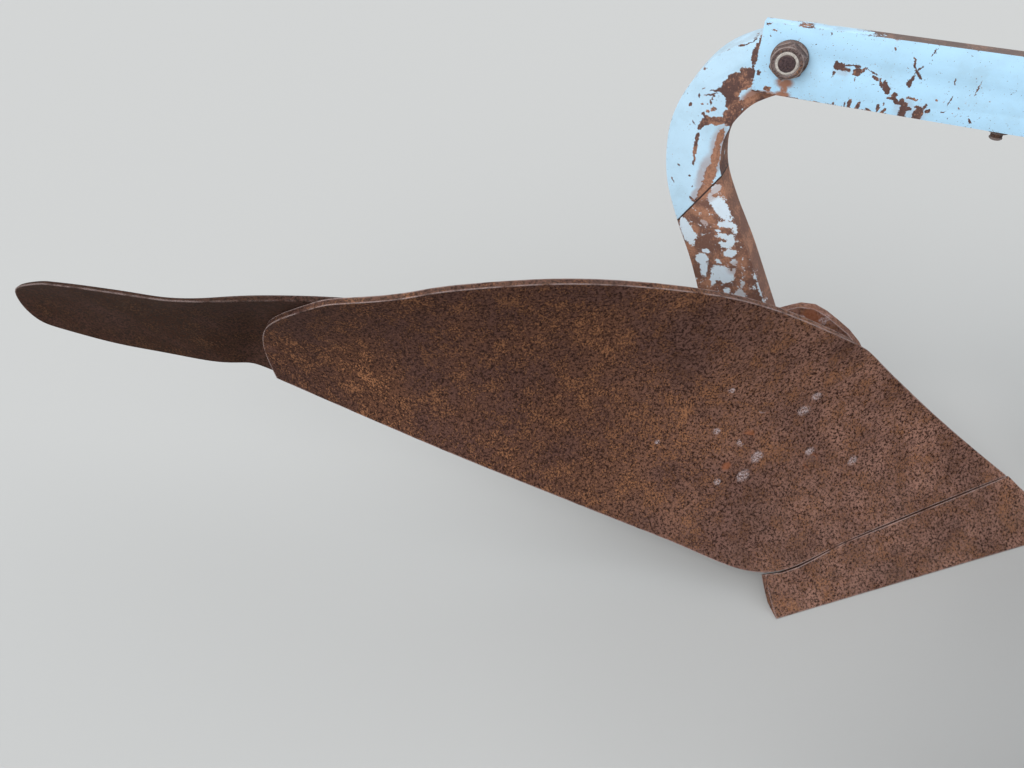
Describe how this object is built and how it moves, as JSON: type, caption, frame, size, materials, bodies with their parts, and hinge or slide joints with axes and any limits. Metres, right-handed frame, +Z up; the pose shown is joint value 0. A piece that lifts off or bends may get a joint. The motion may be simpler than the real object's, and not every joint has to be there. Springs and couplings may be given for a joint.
{
  "type": "moldboard plough",
  "caption": "Right-hand mounted moldboard plough with curved swan-neck legs, long twisted moldboards with tail pieces, disc coulters, cranked cross shaft and mast.",
  "frame": {"origin": "the middle of the plough's outline, on the ground it stands on", "axes": "+X forward in the direction of travel, +Y to the land side, +Z up"},
  "size_m": [2.6298, 1.238, 1.14],
  "materials": {
    "rear_beam": "pale sky-blue paint, chipped and scratched down to brown rust",
    "front_beam": "pale sky-blue paint, chipped and scratched down to brown rust",
    "rear_leg": "pale sky-blue paint, chipped and scratched down to brown rust",
    "front_leg": "pale sky-blue paint, chipped and scratched down to brown rust",
    "rear_leg_bolt": "bare steel under an even dark-brown rust with orange speckle",
    "front_leg_bolt": "bare steel under an even dark-brown rust with orange speckle",
    "rear_shear_bolt": "bare steel under an even dark-brown rust with orange speckle",
    "front_shear_bolt": "bare steel under an even dark-brown rust with orange speckle",
    "rear_pitch_screw": "bare steel under an even dark-brown rust with orange speckle",
    "front_pitch_screw": "bare steel under an even dark-brown rust with orange speckle",
    "rear_frog": "rough casting, brown rust",
    "front_frog": "rough casting, brown rust",
    "rear_landside": "bare steel under an even dark-brown rust with orange speckle",
    "front_landside": "bare steel under an even dark-brown rust with orange speckle",
    "rear_share": "bare steel under an even dark-brown rust with orange speckle",
    "front_share": "bare steel under an even dark-brown rust with orange speckle",
    "rear_moldboard": "bare steel under an even dark-brown rust with orange speckle",
    "front_moldboard": "bare steel under an even dark-brown rust with orange speckle",
    "rear_tail_piece": "bare steel under an even dark-brown rust with orange speckle",
    "front_tail_piece": "bare steel under an even dark-brown rust with orange speckle",
    "rear_stay": "bare steel under an even dark-brown rust with orange speckle",
    "front_stay": "bare steel under an even dark-brown rust with orange speckle",
    "rear_coulter_clamp": "pale sky-blue paint, chipped and scratched down to brown rust",
    "front_coulter_clamp": "pale sky-blue paint, chipped and scratched down to brown rust",
    "rear_coulter_stalk": "bare steel under an even dark-brown rust with orange speckle",
    "front_coulter_stalk": "bare steel under an even dark-brown rust with orange speckle",
    "beam_spacer": "pale sky-blue paint, chipped and scratched down to brown rust",
    "beam_brace": "pale sky-blue paint, chipped and scratched down to brown rust",
    "headstock_tube": "pale sky-blue paint, chipped and scratched down to brown rust",
    "left_mast_plate": "pale sky-blue paint, chipped and scratched down to brown rust",
    "right_mast_plate": "pale sky-blue paint, chipped and scratched down to brown rust",
    "left_mast_stay": "pale sky-blue paint, chipped and scratched down to brown rust",
    "right_mast_stay": "pale sky-blue paint, chipped and scratched down to brown rust",
    "left_shaft_clamp": "pale sky-blue paint, chipped and scratched down to brown rust",
    "right_shaft_clamp": "pale sky-blue paint, chipped and scratched down to brown rust",
    "rear_coulter_fork": "pale sky-blue paint, chipped and scratched down to brown rust",
    "front_coulter_fork": "pale sky-blue paint, chipped and scratched down to brown rust",
    "rear_coulter_disc": "bare steel under an even dark-brown rust with orange speckle",
    "front_coulter_disc": "bare steel under an even dark-brown rust with orange speckle",
    "cross_shaft": "bare steel under an even dark-brown rust with orange speckle"
  },
  "bodies": {
    "frame": {"rear_beam": "rear_beam", "front_beam": "front_beam", "rear_leg": "rear_leg", "front_leg": "front_leg", "rear_leg_bolt": "rear_leg_bolt", "front_leg_bolt": "front_leg_bolt", "rear_shear_bolt": "rear_shear_bolt", "front_shear_bolt": "front_shear_bolt", "rear_pitch_screw": "rear_pitch_screw", "front_pitch_screw": "front_pitch_screw", "rear_frog": "rear_frog", "front_frog": "front_frog", "rear_landside": "rear_landside", "front_landside": "front_landside", "rear_share": "rear_share", "front_share": "front_share", "rear_moldboard": "rear_moldboard", "front_moldboard": "front_moldboard", "rear_tail_piece": "rear_tail_piece", "front_tail_piece": "front_tail_piece", "rear_stay": "rear_stay", "front_stay": "front_stay", "rear_coulter_clamp": "rear_coulter_clamp", "front_coulter_clamp": "front_coulter_clamp", "rear_coulter_stalk": "rear_coulter_stalk", "front_coulter_stalk": "front_coulter_stalk", "beam_spacer": "beam_spacer", "beam_brace": "beam_brace", "headstock_tube": "headstock_tube", "left_mast_plate": "left_mast_plate", "right_mast_plate": "right_mast_plate", "left_mast_stay": "left_mast_stay", "right_mast_stay": "right_mast_stay", "left_shaft_clamp": "left_shaft_clamp", "right_shaft_clamp": "right_shaft_clamp"},
    "rear_coulter": {"rear_coulter_fork": "rear_coulter_fork"},
    "rear_disc": {"rear_coulter_disc": "rear_coulter_disc"},
    "front_coulter": {"front_coulter_fork": "front_coulter_fork"},
    "front_disc": {"front_coulter_disc": "front_coulter_disc"},
    "hitch_shaft": {"cross_shaft": "cross_shaft"}
  },
  "joints": [
    {"name": "rear_coulter_swivel", "type": "hinge", "parent": "frame", "child": "rear_coulter", "pos_m": [0.38488, 0.29146, 0.42], "axis": [0, 0, 1], "range_deg": [-15, 15]},
    {"name": "rear_disc_spin", "type": "hinge", "parent": "rear_coulter", "child": "rear_disc", "pos_m": [0.20988, 0.29146, 0.232], "axis": [0, 1, 0], "continuous": true},
    {"name": "front_coulter_swivel", "type": "hinge", "parent": "frame", "child": "front_coulter", "pos_m": [1.16488, -0.06354, 0.42], "axis": [0, 0, 1], "range_deg": [-15, 15]},
    {"name": "front_disc_spin", "type": "hinge", "parent": "front_coulter", "child": "front_disc", "pos_m": [0.98988, -0.06354, 0.232], "axis": [0, 1, 0], "continuous": true},
    {"name": "cross_shaft_turn", "type": "hinge", "parent": "frame", "child": "hitch_shaft", "pos_m": [1.26988, 0.12646, 0.54], "axis": [0, 1, 0], "range_deg": [-20, 20]}
  ]
}
